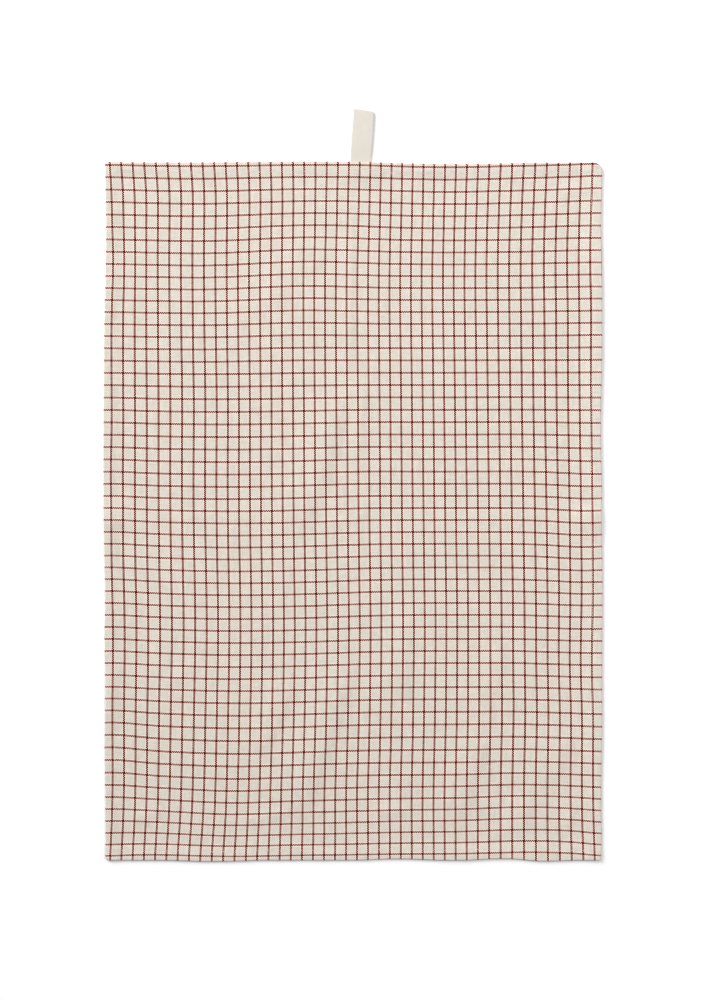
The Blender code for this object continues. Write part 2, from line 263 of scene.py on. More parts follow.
WEFT_PULLS = [
    Pull(-120 * MM, -120 * MM, 70 * MM, 190 * MM, -2.4 * MM),
    Pull(-125 * MM, -310 * MM, 55 * MM, 45 * MM, -2.9 * MM),
    Pull(-243 * MM, -60 * MM, 32 * MM, 190 * MM, 2.0 * MM),
    Pull(-243 * MM, -240 * MM, 35 * MM, 55 * MM, 2.9 * MM),
    Pull(85 * MM, -90 * MM, 105 * MM, 190 * MM, 1.8 * MM),
    Pull(-45 * MM, 262 * MM, 55 * MM, 80 * MM, 2.3 * MM),
    Pull(95 * MM, 340 * MM, 55 * MM, 90 * MM, -1.6 * MM),
    Pull(-155 * MM, 250 * MM, 50 * MM, 90 * MM, -1.6 * MM),
    Pull(-243 * MM, 330 * MM, 30 * MM, 60 * MM, 0.8 * MM),
    Pull(228 * MM, 280 * MM, 40 * MM, 110 * MM, 1.4 * MM),
    Pull(228 * MM, -30 * MM, 30 * MM, 80 * MM, -1.9 * MM),
    Pull(165 * MM, -300 * MM, 45 * MM, 60 * MM, 2.3 * MM),
    Pull(0 * MM, 20 * MM, 50 * MM, 60 * MM, 0.5 * MM),
    Pull(-30 * MM, -310 * MM, 60 * MM, 40 * MM, -1.6 * MM),
    Pull(-243 * MM, -345 * MM, 40 * MM, 30 * MM, -2.3 * MM),
    Pull(175 * MM, 60 * MM, 60 * MM, 120 * MM, 0.7 * MM),
    Pull(-40 * MM, -110 * MM, 50 * MM, 100 * MM, -0.9 * MM),
    Pull(254 * MM, 340 * MM, 26 * MM, 60 * MM, 1.4 * MM),
    Pull(254 * MM, 180 * MM, 26 * MM, 60 * MM, 0.8 * MM),
    Pull(254 * MM, 40 * MM, 40 * MM, 30 * MM, -0.8 * MM),
    Pull(250 * MM, -205 * MM, 35 * MM, 50 * MM, -1.2 * MM),
    Pull(212 * MM, -305 * MM, 40 * MM, 60 * MM, 1.3 * MM),
    Pull(252 * MM, -335 * MM, 26 * MM, 45 * MM, -1.8 * MM),
    Pull(-105 * MM, -240 * MM, 65 * MM, 55 * MM, -1.1 * MM),
    Pull(157 * MM, -160 * MM, 35 * MM, 110 * MM, 0.7 * MM),
    Pull(-140 * MM, 80 * MM, 130 * MM, 80 * MM, -0.7 * MM),
    Pull(15 * MM, 80 * MM, 45 * MM, 60 * MM, 0.5 * MM),
    Pull(-222 * MM, -345 * MM, 30 * MM, 30 * MM, 0.8 * MM),
    Pull(-225 * MM, 220 * MM, 40 * MM, 80 * MM, -0.4 * MM),
    Pull(-60 * MM, 180 * MM, 60 * MM, 45 * MM, 0.5 * MM),
    Pull(-3 * MM, 310 * MM, 30 * MM, 50 * MM, 0.6 * MM),
]

# Finishes, as linear colour
CREAM = (0.58, 0.552, 0.488)
BLUSHED_CREAM = (0.70, 0.562, 0.489)
BLUSH_START = 0.08  # of a check, from the middle of a line
BLUSH_REACH = 0.26
BRICK_RED = (0.13, 0.0095, 0.0045)
TAPE_CREAM = (0.59, 0.555, 0.49)
THREAD_CREAM = (0.60, 0.56, 0.48)
THREAD_SHADE = 0.85  # the thread's darker fibres, as a share of its cream
THREAD_FIBRES = 3000  # about as many as lie side by side in a metre
FLOOR_WHITE = (0.87, 0.87, 0.87)

# The weave, and the fibres of the thread
YARNS_A_CHECK = 12
YARN_WANDER = 2.6  # the room in which a yarn midway between two lines may lie, in yarns
WANDER_SCALE = 0.13  # how fast that place changes from yarn to yarn
YARN_OVERLAP = 0.15  # how softly the yarn on top gives way to the other
SLUB_STRETCH = 0.11  # its thick and thin lengths run along a yarn past about ten others
SLUB_SCALE = 0.83  # and differ from yarn to yarn
WARP_SEED = 1.9
WEFT_SEED = 7.3
NOISE_RANGE = (0.3, 0.7)  # where nearly all of a noise's values lie
GAP_HEIGHTS = (0.3, 0.9)  # the relief from the gaps between the yarns up to their backs
GAP_SHADE = 0.8  # how much of the colour the painted shade in the gaps keeps
COTTON_CRIMP = 0.55
COTTON_TONES = (0.9, 1.1)  # the darkest and the lightest yarns
COTTON_RELIEF = 0.12 * MM  # between the backs of the yarns and the gaps
TAPE_YARNS = (2.4, 1.7)  # to a millimetre, across the tape and along it
TAPE_WANDER = (0.3, 0.3, 0)
TAPE_CRIMP = 0.5
TAPE_WARP_LEAD = 0.25
TAPE_TONES = (0.97, 1.03)
TAPE_RELIEF = 0.08 * MM
FIBRE_RELIEF = 0.05 * MM
RED_WARP_SPREAD = 2.25  # the width of each line's two red yarns, in yarns
RED_WEFT_SPREAD = 1.9
RED_WARP_LEAD = 0.7  # how far a red yarn stands over the cream ones, in yarn radii
RED_WEFT_LEAD = 0.15
WARP_SHOWS = 0.27  # red seen past the sides of the cream yarn over it
WEFT_SHOWS = 0.4
CROSSING_DEPTH_AND_SHADE = 0.6  # where two red yarns cross, no cream lightens them, and painted shade deepens them further

# The camera stands straight above, a little up the towel from its middle
CAMERA_HIGH = 3.0
CAMERA_RIGHT = -0.25 * MM
CAMERA_UP = 11.74 * MM
VIEW_LONG_SIDE = 1.0034  # metres of the floor that the picture's long side takes in
CAMERA_FAR = 20  # how far it sees
SENSOR = 36.0
PIXEL_FILTER = 1.15  # pixels; a wider one blurs the check's zigzag

FLOOR_SIZE = 8.0
FLOOR_DROP = 0.25 * MM  # below the cloth, so the two never share a plane

# Square lights that face the middle of the cloth, and the even light of the room
Lamp = namedtuple("Lamp", "name place size power")
LAMPS = [
    Lamp("key_light", (-2.95, 2.88, 1.8), 2.8, 328),
    Lamp("fill_light", (1.5, 0.4, 1.8), 1.0, 25),
]
ROOM_LIGHT = 0.405

FACING = 0.9  # a face looks along an axis when this much of its normal does


# Shapes that more than one piece uses


def soft(distance, reach):
    """One at no distance, falling smoothly to exactly nothing at the reach."""
    share = min(1.0, abs(distance) / reach)
    return (1 - share * share) ** 2


def ramp(distance, run):
    """One up to no distance, falling smoothly to nothing over the run."""
    share = min(1.0, max(0.0, distance / run))
    return 1 - share * share * (3 - 2 * share)


def ridge_height(fold, x, y):
    """Height of one fold's ridge, or depth of its trough, at a place."""
    run_x = fold.x1 - fold.x0
    run_y = fold.y1 - fold.y0
    length = math.hypot(run_x, run_y)
    along = ((x - fold.x0) * run_x + (y - fold.y0) * run_y) / length**2
    if not 0 < along < 1:
        return 0.0
    aside = ((x - fold.x0) * run_y - (y - fold.y0) * run_x) / length
    aside -= fold.bow * (1 - (2 * along - 1) ** 2)
    ends = ramp(FOLD_ENDS - min(along, 1 - along), FOLD_ENDS)
    return fold.high * soft(aside, fold.steep if aside < 0 else fold.gentle) * ends


def edge_inset(x, y):
    """Distance in from the nearest edge, measured before the edges creep."""
    return min(TOWEL_WIDTH / 2 - abs(x), TOWEL_LENGTH / 2 - abs(y))


def corner_lift(x, y):
    """More height where two hems lie over each other."""
    far_x = HEM_TURN - (TOWEL_WIDTH / 2 - abs(x))
    far_y = HEM_TURN - (TOWEL_LENGTH / 2 - abs(y))
    return CORNER_LAYERS * ramp(-min(far_x, far_y), CORNER_SOFT)


def pocket_height(x, y):
    """The hem's lift over the ends of the tape."""
    beside = abs(x - LOOP_PLACE) - (TAPE_WIDTH / 2 + POCKET_ROOM)
    beyond = TOWEL_LENGTH / 2 - y - (ROOT_LENGTH + POCKET_ROOM)
    return POCKET_LIFT * ramp(beside, POCKET_SLOPE) * ramp(beyond, POCKET_SLOPE)


def slow_wave(along):
    """A slow uneven wave along a hem, between about one below and one above nothing."""
    return sum(math.sin(math.tau * along / length + length / MM) for length in HEM_WAVES) / len(HEM_WAVES)


def edge_roll(inset):
    """How far the turned edge rolls off from the face, and from the underside."""
    short = max(0.0, EDGE_RADIUS - inset)
    drop = EDGE_RADIUS - math.sqrt(EDGE_RADIUS**2 - short**2)
    return min(drop, EDGE_RADIUS - EDGE_WALL / 2)


def seam_dent(inset):
    """How deep the seam's thread pulls the face in."""
    return SEAM_DENT * soft(inset - SEAM_INSET, SEAM_DENT_HALF)


def pucker(x, y, inset):
    """Small waves that the seam gathers into the hem."""
    wave = 0.0
    for number, length in enumerate(PUCKER_WAVES):
        turn = math.tau / length
        across = math.sin(turn * (x + PUCKER_LEAN_X * y) + number)
        upward = math.sin(turn * (y - PUCKER_LEAN_Y * x) + 2 * number)
        wave += across * upward
    return PUCKER * wave / len(PUCKER_WAVES) * ramp(inset - HEM_TURN, HEM_FALL)


def rise_height(x, y):
    """How far the hem stands off the surface at a place."""
    height = 0.0
    for rise in RISES:
        along, inset = (y, TOWEL_WIDTH / 2 - x) if rise.edge == "right" else (x, TOWEL_LENGTH / 2 + y)
        height += rise.up * soft(along - rise.along, rise.reach) * soft(inset, RISE_DEPTH)
    return height


def lying_height(x, y):
    """How far the folds, the hems and the tape's ends hold the cloth off the surface."""
    folds = sum(ridge_height(fold, x, y) for fold in FOLDS)
    return rise_height(x, y) + max(folds, pocket_height(x, y))


def under_height(x, y):
    """The underside: flat below the hem, and a little clear of the floor beside its turned strip."""
    inset = edge_inset(x, y)
    field = TURN_STEP * ramp(inset - HEM_TURN, TURN_RUN) if inset > HEM_TURN + TURN_CLIFF else 0.0
    return field + edge_roll(inset) + UNDER_DENT * seam_dent(inset) + lying_height(x, y)


def face_height(x, y):
    """The face of the cloth, with its folds and creases."""
    inset = edge_inset(x, y)
    fall = HEM_FALL * (1 + HEM_UNEVEN * slow_wave(x + y))
    height = CLOTH_THICK + (HEM_THICK - CLOTH_THICK) * ramp(inset - HEM_FLAT, fall)
    height += corner_lift(x, y) + pucker(x, y, inset) - edge_roll(inset) - seam_dent(inset)
    return height + lying_height(x, y) + sum(ridge_height(crease, x, y) for crease in CREASES)


def crept(x, y):
    """The place of a point once the edges have crept and the corners are rounded."""
    for corner in CORNERS:
        past_x = x * corner.right - (TOWEL_WIDTH / 2 - corner.radius)
        past_y = y * corner.up - (TOWEL_LENGTH / 2 - corner.radius)
        if past_x > 0 and past_y > 0:
            pull = 1 - max(past_x, past_y) / math.hypot(past_x, past_y)
            x -= past_x * pull * corner.right
            y -= past_y * pull * corner.up
    out_x = 0.0
    out_y = 0.0
    for creep in CREEPS:
        if creep.edge in ("left", "right"):
            sign = 1 if creep.edge == "right" else -1
            inset = TOWEL_WIDTH / 2 - x * sign
            out_x += sign * creep.out * soft(y - creep.along, creep.reach) * soft(inset, CREEP_DEPTH)
        else:
            sign = 1 if creep.edge == "top" else -1
            inset = TOWEL_LENGTH / 2 - y * sign
            out_y += sign * creep.out * soft(x - creep.along, creep.reach) * soft(inset, CREEP_DEPTH)
    return x + out_x, y + out_y


def line_places(first, pitch, eases, count):
    """How far in from the edge each line of the check lies, with one more before the first."""
    places = [first - pitch, first]
    for line in range(count):
        wider = sum(ease.wider * soft(line + 0.5 - ease.line, ease.reach) for ease in eases)
        places.append(places[-1] + pitch + wider)
    return places


def line_number(place, places):
    """The line at a place, as a number with its share of the way to the next line."""
    before = min(max(bisect.bisect(places, place) - 1, 0), len(places) - 2)
    return before - 1 + (place - places[before]) / (places[before + 1] - places[before])


def pulled(pulls, x, y):
    """How far the threads have been pulled aside at a place."""
    shift = 0.0
    for pull in pulls:
        far_x = (x - pull.x) / pull.reach_x
        far_y = (y - pull.y) / pull.reach_y
        shift += pull.shift * math.exp(-(far_x**2) - far_y**2)
    return shift


WARP_PLACES = line_places(WARP_FIRST, WARP_PITCH, WARP_EASES, WARP_LINES)
WEFT_PLACES = line_places(WEFT_FIRST, WEFT_PITCH, WEFT_EASES, WEFT_LINES)


def check_place(x, y):
    """The check's line numbers at a place on the laid cloth, from the left and from the top."""
    across = x - pulled(WARP_PULLS, x, y) + TOWEL_WIDTH / 2
    down = TOWEL_LENGTH / 2 - (y - pulled(WEFT_PULLS, x, y))
    return line_number(across, WARP_PLACES), line_number(down, WEFT_PLACES)


# Modelling


def start_alone():
    """Leaves object mode with nothing selected, so that an operator acts on the new piece alone."""
    if bpy.context.object and bpy.context.object.mode != "OBJECT":
        bpy.ops.object.mode_set(mode="OBJECT")
    bpy.ops.object.select_all(action="DESELECT")


def finish_piece(piece, name, material):
    """Names a piece, gives it its finish, and lets it ride on the object's one body."""
    piece.name = name
    piece.data.name = name
    piece.data.materials.clear()
    piece.data.materials.append(material)
    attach(piece, "root")
    return piece


def add_grid(columns, rows):
    """A flat grid with this many lines each way, which spans from -1 to 1 until it is given its shape."""
    start_alone()
    bpy.ops.mesh.primitive_grid_add(x_subdivisions=columns - 1, y_subdivisions=rows - 1, size=2)
    return bpy.context.object


def grid_line(place, count):
    """The number of the line that a place on such a new grid is on, counted from nothing."""
    return round((place + 1) / 2 * (count - 1))


def map_threads(piece, places):
    """The piece's UV map: for each of its points, the place in the weave."""
    threads = piece.data.uv_layers[0]
    threads.name = "threads"
    for loop, corner in zip(piece.data.loops, threads.data):
        corner.uv = places[loop.vertex_index]


def grid_places(span, fine):
    """Grid lines along one side of the towel: the edge's own at both ends, and even steps between them,
    smaller over the fine stretch."""
    low = [inset - span / 2 for inset in EDGE_LINES]
    places = low[:]
    turns = [low[-1], *fine, -low[-1]]
    for start, end, step in zip(turns, turns[1:], (GRID_STEP, FINE_STEP, GRID_STEP)):
        count = math.ceil((end - start) / step)
        places += [start + (end - start) * number / count for number in range(1, count + 1)]
    return places + [-place for place in reversed(low[:-1])]


def make_cloth(material):
    """The towel: a grid drawn out to two skins, and each skin laid where the folds, hem and edge put it."""
    columns = grid_places(TOWEL_WIDTH, FINE_COLUMNS)
    rows = grid_places(TOWEL_LENGTH, FINE_ROWS)
    cloth = add_grid(len(columns), len(rows))
    bpy.ops.object.mode_set(mode="EDIT")
    bpy.ops.mesh.select_all(action="SELECT")
    bpy.ops.mesh.extrude_region_move(TRANSFORM_OT_translate={"value": (0, 0, 1)})
    bpy.ops.mesh.select_all(action="SELECT")
    bpy.ops.mesh.normals_make_consistent(inside=False)
    bpy.ops.object.mode_set(mode="OBJECT")

    checks = []
    for vert in cloth.data.vertices:
        x = columns[grid_line(vert.co.x, len(columns))]
        y = rows[grid_line(vert.co.y, len(rows))]
        # the skin that was drawn out becomes the face
        height = face_height(x, y) if vert.co.z > 0.5 else under_height(x, y)
        place = crept(x, y)
        checks.append(check_place(*place))
        vert.co = (*place, height)
    map_threads(cloth, checks)
    cloth.data.shade_smooth()
    finish_piece(cloth, "checked_cloth", material)
    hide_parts("towel_cloth")
    return cloth


def tape_path():
    """The tape's middle line seen from its side, from one end under the hem, round the fold, to the other."""
    half = TAPE_THICK / 2
    radius = FOLD_HIGH / 2 - half
    turn = (ROOT_LENGTH + LOOP_REACH - FOLD_HIGH / 2, FOLD_HIGH / 2)
    points = [(turn[0] * step / LOWER_STEPS, half) for step in range(LOWER_STEPS)]
    for step in range(FOLD_STEPS + 1):
        angle = math.pi * (step / FOLD_STEPS - 0.5)
        points.append((turn[0] + radius * math.cos(angle), turn[1] + radius * math.sin(angle)))
    top = FOLD_HIGH - half
    pressed = 3 * half
    for step in range(1, UPPER_STEPS + 1):
        share = step / UPPER_STEPS
        along = turn[0] + (EYE_START - turn[0]) * share
        points.append((along, top + (pressed - top) * share**3))
    points += [(EYE_START * (1 - step / ROOT_STEPS), pressed) for step in range(1, ROOT_STEPS + 1)]
    return points


def make_loop_tape(material):
    """The hanging loop: a flat strip of tape, folded along its path and given its thickness."""
    path = tape_path()
    lengths = [0.0]
    for start, end in zip(path, path[1:]):
        lengths.append(lengths[-1] + math.dist(start, end))
    sides = [inset / (TAPE_WIDTH / 2) - 1 for inset in TAPE_LINES]
    sides += [0.0] + [-side for side in reversed(sides)]
    tape = add_grid(len(path), len(sides))
    turn = ROOT_LENGTH + LOOP_REACH - FOLD_HIGH / 2
    weave = []
    for vert in tape.data.vertices:
        step = grid_line(vert.co.x, len(path))
        side = sides[grid_line(vert.co.y, len(sides))]
        along, up = path[step]
        near_fold = ramp(turn - along, FOLD_REACH)
        aside = side * (TAPE_WIDTH / 2 - FOLD_NARROW * near_fold)
        weave.append((side * TAPE_WIDTH / 2 / MM, lengths[step] / MM))
        # the fold runs slantwise, and its right corner is rolled round
        along -= FOLD_SKEW * aside * near_fold
        from_corner = TAPE_WIDTH / 2 - aside
        at_end = ramp(turn + FOLD_HIGH / 2 - along, FOLD_CORNER_RUN)
        along -= FOLD_CORNER_PULL * soft(from_corner, FOLD_CORNER) * at_end
        up -= TAPE_CUP * side**4 * ramp(TAPE_THICK * 2 - up, TAPE_THICK)
        vert.co = (along, aside, up)
    map_threads(tape, weave)
    layer = tape.modifiers.new("thickness", "SOLIDIFY")
    layer.thickness = TAPE_THICK
    layer.offset = 0
    bpy.ops.object.modifier_apply(modifier=layer.name)
    tape.data.shade_smooth()

    # along the tape is +X so far, and its right edge is +Y
    root = Vector((LOOP_PLACE + ROOT_LENGTH * math.sin(LOOP_LEAN), TOWEL_LENGTH / 2 - ROOT_LENGTH, 0))
    mirror = Matrix.Diagonal((1, -1, 1, 1))
    tape.data.transform(Matrix.Translation(root) @ Matrix.Rotation(math.pi / 2 + LOOP_LEAN, 4, "Z") @ mirror)
    tape.data.flip_normals()
    finish_piece(tape, "loop_tape", material)
    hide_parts("hang_loop")
    return tape


def stitch_pattern():
    """One stitch, a metre long for now: a short length of thread whose ends dip into the cloth."""
    start_alone()
    lying = (0, math.pi / 2, 0)
    bpy.ops.mesh.primitive_cylinder_add(vertices=THREAD_SIDES, radius=1, depth=STITCH_FLAT, rotation=lying)
    stitch = bpy.context.object
    end_length = (1 - STITCH_FLAT) / 2
    bpy.ops.object.transform_apply(location=False, rotation=True, scale=True)
    for end in (-1, 1):
        bpy.ops.object.mode_set(mode="EDIT")
        bpy.ops.mesh.select_all(action="DESELECT")
        bpy.ops.object.mode_set(mode="OBJECT")
        for face in stitch.data.polygons:
            face.select = face.normal.x * end > FACING
        bpy.ops.object.mode_set(mode="EDIT")
        move = (end_length * end, 0, -STITCH_DIP)
        bpy.ops.mesh.extrude_region_move(TRANSFORM_OT_translate={"value": move})
        bpy.ops.transform.resize(value=STITCH_TIP)
    bpy.ops.object.mode_set(mode="OBJECT")
    return stitch


def seam_places():
    """Both ends of every stitch of the hem's seam, round the towel."""
    half_x = TOWEL_WIDTH / 2 - SEAM_INSET
    half_y = TOWEL_LENGTH / 2 - SEAM_INSET
    corners = [(-half_x, -half_y), (half_x, -half_y), (half_x, half_y), (-half_x, half_y)]
    places = []
    for (x0, y0), (x1, y1) in zip(corners, corners[1:] + corners[:1]):
        length = math.dist((x0, y0), (x1, y1))
        count = round(length / STITCH_PITCH)
        reach = STITCH_LENGTH / length / 2
        for number in range(count):
            middle = (number + 0.5) / count
            ends = [middle - reach, middle + reach]
            places.append([(x0 + (x1 - x0) * end, y0 + (y1 - y0) * end) for end in ends])
    return places


def bar_places():
    """The second row of stitches, over the ends of the tape."""
    places = []
    y = TOWEL_LENGTH / 2 - BAR_INSET
    for number in range(BAR_STITCHES):
        x = LOOP_PLACE + (number - BAR_STITCHES // 2) * STITCH_PITCH
        places.append([(x - STITCH_LENGTH / 2, y), (x + STITCH_LENGTH / 2, y)])
    return places


def lay_stitch(pattern, ends, under, chance):
    """A copy of the stitch, laid between two places on the face or on the underside."""
    points = []
    for x, y in ends:
        height = under_height(x, y) + STITCH_SUNK_UNDER if under else face_height(x, y) - STITCH_SUNK
        points.append(Vector((*crept(x, y), height)))
    run = points[1] - points[0]
    turn = math.atan2(run.y, run.x) + chance.gauss(0, STITCH_SKEW)
    rise = math.atan2(run.z, math.hypot(run.x, run.y))
    uneven = chance.uniform(1 - THREAD_UNEVEN, 1 + THREAD_UNEVEN)
    girth = THREAD_RADIUS * (UNDER_GIRTH if under else 1) * uneven
    size = Matrix.Diagonal((run.length, THREAD_RADIUS, -girth if under else girth, 1))
    copy = pattern.copy()
    copy.data = pattern.data.copy()
    bpy.context.collection.objects.link(copy)
    middle = Matrix.Translation((points[0] + points[1]) / 2)
    copy.data.transform(middle @ Matrix.Rotation(turn, 4, "Z") @ Matrix.Rotation(-rise, 4, "Y") @ size)
    if under:
        copy.data.flip_normals()
    return copy


def make_stitches(name, places, material, seed):
    """A row of stitches on the face and the same row on the underside, joined into one piece."""
    chance = random.Random(seed)
    pattern = stitch_pattern()
    start_alone()
    row = [lay_stitch(pattern, ends, under, chance) for under in (False, True) for ends in places]
    for stitch in row:
        stitch.select_set(True)
    bpy.context.view_layer.objects.active = row[0]
    bpy.ops.object.join()
    stitches = bpy.context.object
    bpy.data.objects.remove(pattern, do_unlink=True)
    stitches.data.shade_smooth()
    return finish_piece(stitches, name, material)


# Finishes


def join(tree, value, socket):
    """Gives a socket a number, or another node's output."""
    if isinstance(value, bpy.types.NodeSocket):
        tree.links.new(value, socket)
    else:
        socket.default_value = value


def add_node(tree, kind, label="", **settings):
    """A node with its label and its settings."""
    node = tree.nodes.new(kind)
    node.label = label
    for name, value in settings.items():
        setattr(node, name, value)
    return node


def calculate(tree, operation, *values):
    """A Math node on numbers or outputs."""
    node = add_node(tree, "ShaderNodeMath", operation=operation)
    for value, socket in zip(values, node.inputs):
        join(tree, value, socket)
    return node.outputs[0]


def blend_colour(tree, share, low, high):
    """A Mix node on colours."""
    node = add_node(tree, "ShaderNodeMix", data_type="RGBA")
    join(tree, share, node.inputs["Factor"])
    join(tree, low, node.inputs["A"])
    join(tree, high, node.inputs["B"])
    return node.outputs["Result"]


def make_weave_group():
    """A plain weave. It reads places counted in yarns, and gives the relief, which yarn is on top, and
    the yarns' own unevenness."""
    group = bpy.data.node_groups.new("plain_weave", "ShaderNodeTree")
    sockets = [
        ("Yarns", "INPUT", "NodeSocketVector", None),
        ("Crimp", "INPUT", "NodeSocketFloat", 0.5),
        ("Warp Bias", "INPUT", "NodeSocketFloat", 0.0),
        ("Height", "OUTPUT", "NodeSocketFloat", None),
        ("Warp On Top", "OUTPUT", "NodeSocketFloat", None),
        ("Yarn Tone", "OUTPUT", "NodeSocketFloat", None),
    ]
    for name, way, kind, value in sockets:
        socket = group.interface.new_socket(name=name, in_out=way, socket_type=kind)
        if value is not None:
            socket.default_value = value
    source = add_node(group, "NodeGroupInput")
    result = add_node(group, "NodeGroupOutput")
    split = add_node(group, "ShaderNodeSeparateXYZ", "warp and weft counts")
    group.links.new(source.outputs["Yarns"], split.inputs[0])
    warp, weft = split.outputs["X"], split.outputs["Y"]

    def yarn_relief(across, along, start):
        """Height of one set of yarns: round across, and up and down along the yarn."""
        half_turn = calculate(group, "MULTIPLY", calculate(group, "FRACT", across), math.pi)
        round_part = calculate(group, "SINE", half_turn)
        turn = calculate(group, "ADD", along, calculate(group, "FLOOR", across))
        wave = calculate(group, "SINE", calculate(group, "MULTIPLY_ADD", turn, math.pi, start))
        return calculate(group, "MULTIPLY_ADD", wave, source.outputs["Crimp"], round_part)

    warp_relief = yarn_relief(warp, weft, 0.0)
    weft_relief = yarn_relief(weft, warp, math.pi)
    higher = calculate(group, "SUBTRACT", warp_relief, weft_relief)
    lead = calculate(group, "ADD", higher, source.outputs["Warp Bias"])
    on_top = add_node(group, "ShaderNodeMapRange", "warp on top", interpolation_type="SMOOTHSTEP")
    join(group, lead, on_top.inputs["Value"])
    join(group, -YARN_OVERLAP, on_top.inputs["From Min"])
    join(group, YARN_OVERLAP, on_top.inputs["From Max"])
    highest = calculate(group, "MAXIMUM", warp_relief, weft_relief)

    def yarn_tone(across, along, seed):
        """Each yarn's own tone, with thicker and thinner lengths along it."""
        place = add_node(group, "ShaderNodeCombineXYZ")
        join(group, calculate(group, "FLOOR", across), place.inputs["X"])
        join(group, calculate(group, "MULTIPLY", along, SLUB_STRETCH), place.inputs["Y"])
        join(group, seed, place.inputs["Z"])
        noise = add_node(group, "ShaderNodeTexNoise", noise_dimensions="3D")
        join(group, SLUB_SCALE, noise.inputs["Scale"])
        join(group, 2.0, noise.inputs["Detail"])
        join(group, place.outputs[0], noise.inputs["Vector"])
        return noise.outputs["Fac"]

    tone = add_node(group, "ShaderNodeMix", "tone of the yarn on top", data_type="FLOAT")
    join(group, on_top.outputs["Result"], tone.inputs["Factor"])
    join(group, yarn_tone(weft, warp, WEFT_SEED), tone.inputs["A"])
    join(group, yarn_tone(warp, weft, WARP_SEED), tone.inputs["B"])
    join(group, highest, result.inputs["Height"])
    join(group, on_top.outputs["Result"], result.inputs["Warp On Top"])
    join(group, tone.outputs["Result"], result.inputs["Yarn Tone"])
    return group


def start_material(name, roughness, specular):
    """A new material, with its node tree and its shader."""
    material = bpy.data.materials.new(name)
    material.use_nodes = True
    tree = material.node_tree
    shader = tree.nodes["Principled BSDF"]
    shader.inputs["Roughness"].default_value = roughness
    shader.inputs["Specular IOR Level"].default_value = specular
    return material, tree, shader


def place_weave(tree, group, threads, scale, crimp, room):
    """The weave on the piece's threads, with this many yarns for each unit of the map. The yarns lie a
    little closer here and a little wider there, as far as they have room."""
    yarns = add_node(tree, "ShaderNodeMapping", "yarns")
    yarns.inputs["Scale"].default_value = (*scale, 1)
    tree.links.new(threads.outputs["UV"], yarns.inputs["Vector"])
    spacing = add_node(tree, "ShaderNodeTexNoise", "uneven spacing", noise_dimensions="2D")
    spacing.inputs["Scale"].default_value = WANDER_SCALE
    spacing.inputs["Detail"].default_value = 1.0
    tree.links.new(yarns.outputs["Vector"], spacing.inputs["Vector"])
    wander = add_node(tree, "ShaderNodeVectorMath", "wander either way", operation="SUBTRACT")
    wander.inputs[1].default_value = (0.5, 0.5, 0.5)
    tree.links.new(spacing.outputs["Color"], wander.inputs[0])
    spaced = add_node(tree, "ShaderNodeVectorMath", "spaced yarns", operation="MULTIPLY_ADD")
    for value, socket in zip((wander.outputs[0], room, yarns.outputs["Vector"]), spaced.inputs):
        join(tree, value, socket)
    weave = add_node(tree, "ShaderNodeGroup", "weave", node_tree=group)
    weave.inputs["Crimp"].default_value = crimp
    tree.links.new(spaced.outputs[0], weave.inputs["Yarns"])
    return weave


def add_relief(tree, shader, height, strength, distance):
    """A Bump node on a height, for the shader's normal."""
    bump = add_node(tree, "ShaderNodeBump", "fine relief")
    bump.inputs["Strength"].default_value = strength
    bump.inputs["Distance"].default_value = distance
    join(tree, height, bump.inputs["Height"])
    tree.links.new(bump.outputs["Normal"], shader.inputs["Normal"])


def line_distance(tree, count):
    """Distance from the nearest line of the check, in checks."""
    share = calculate(tree, "FRACT", calculate(tree, "ADD", count, 0.5))
    offset = calculate(tree, "SUBTRACT", share, 0.5)
    return calculate(tree, "ABSOLUTE", offset)


def remap(tree, label, value, start, end, low, high):
    """A number moved from one range to another, and kept inside it."""
    node = add_node(tree, "ShaderNodeMapRange", label)
    names = ("Value", "From Min", "From Max", "To Min", "To Max")
    for name, number in zip(names, (value, start, end, low, high)):
        join(tree, number, node.inputs[name])
    return node.outputs["Result"]


def weave_red_yarns(tree, weave, from_warp, from_weft):
    """How much of the yarn on top is red, and that red, which is deeper where two red yarns cross, partly as
    painted shade.
    """
    red_warp = calculate(tree, "LESS_THAN", from_warp, RED_WARP_SPREAD / YARNS_A_CHECK / 2)
    red_weft = calculate(tree, "LESS_THAN", from_weft, RED_WEFT_SPREAD / YARNS_A_CHECK / 2)
    # the red yarns are a little thicker, so they cover more of each crossing
    warp_lead = calculate(tree, "MULTIPLY", red_warp, RED_WARP_LEAD)
    lead = calculate(tree, "MULTIPLY_ADD", red_weft, -RED_WEFT_LEAD, warp_lead)
    tree.links.new(lead, weave.inputs["Warp Bias"])
    warp_share = calculate(tree, "MAXIMUM", red_warp, calculate(tree, "MULTIPLY", red_weft, WEFT_SHOWS))
    weft_share = calculate(tree, "MAXIMUM", red_weft, calculate(tree, "MULTIPLY", red_warp, WARP_SHOWS))
    share = add_node(tree, "ShaderNodeMix", "red on the yarn on top", data_type="FLOAT")
    join(tree, weave.outputs["Warp On Top"], share.inputs["Factor"])
    join(tree, weft_share, share.inputs["A"])
    join(tree, warp_share, share.inputs["B"])
    # the deeper red at the crossings is partly painted shade between the yarns
    deep = tuple(CROSSING_DEPTH_AND_SHADE * part for part in BRICK_RED)
    crossing = calculate(tree, "MULTIPLY", red_warp, red_weft)
    return share.outputs["Result"], blend_colour(tree, crossing, (*BRICK_RED, 1), (*deep, 1))


def shade_colour(tree, shader, colour, shade):
    """The shader's colour, lighter or darker by a number that changes over the surface."""
    shaded = add_node(tree, "ShaderNodeVectorMath", "shaded yarns", operation="SCALE")
    join(tree, colour, shaded.inputs[0])
    join(tree, shade, shaded.inputs["Scale"])
    tree.links.new(shaded.outputs[0], shader.inputs["Base Color"])


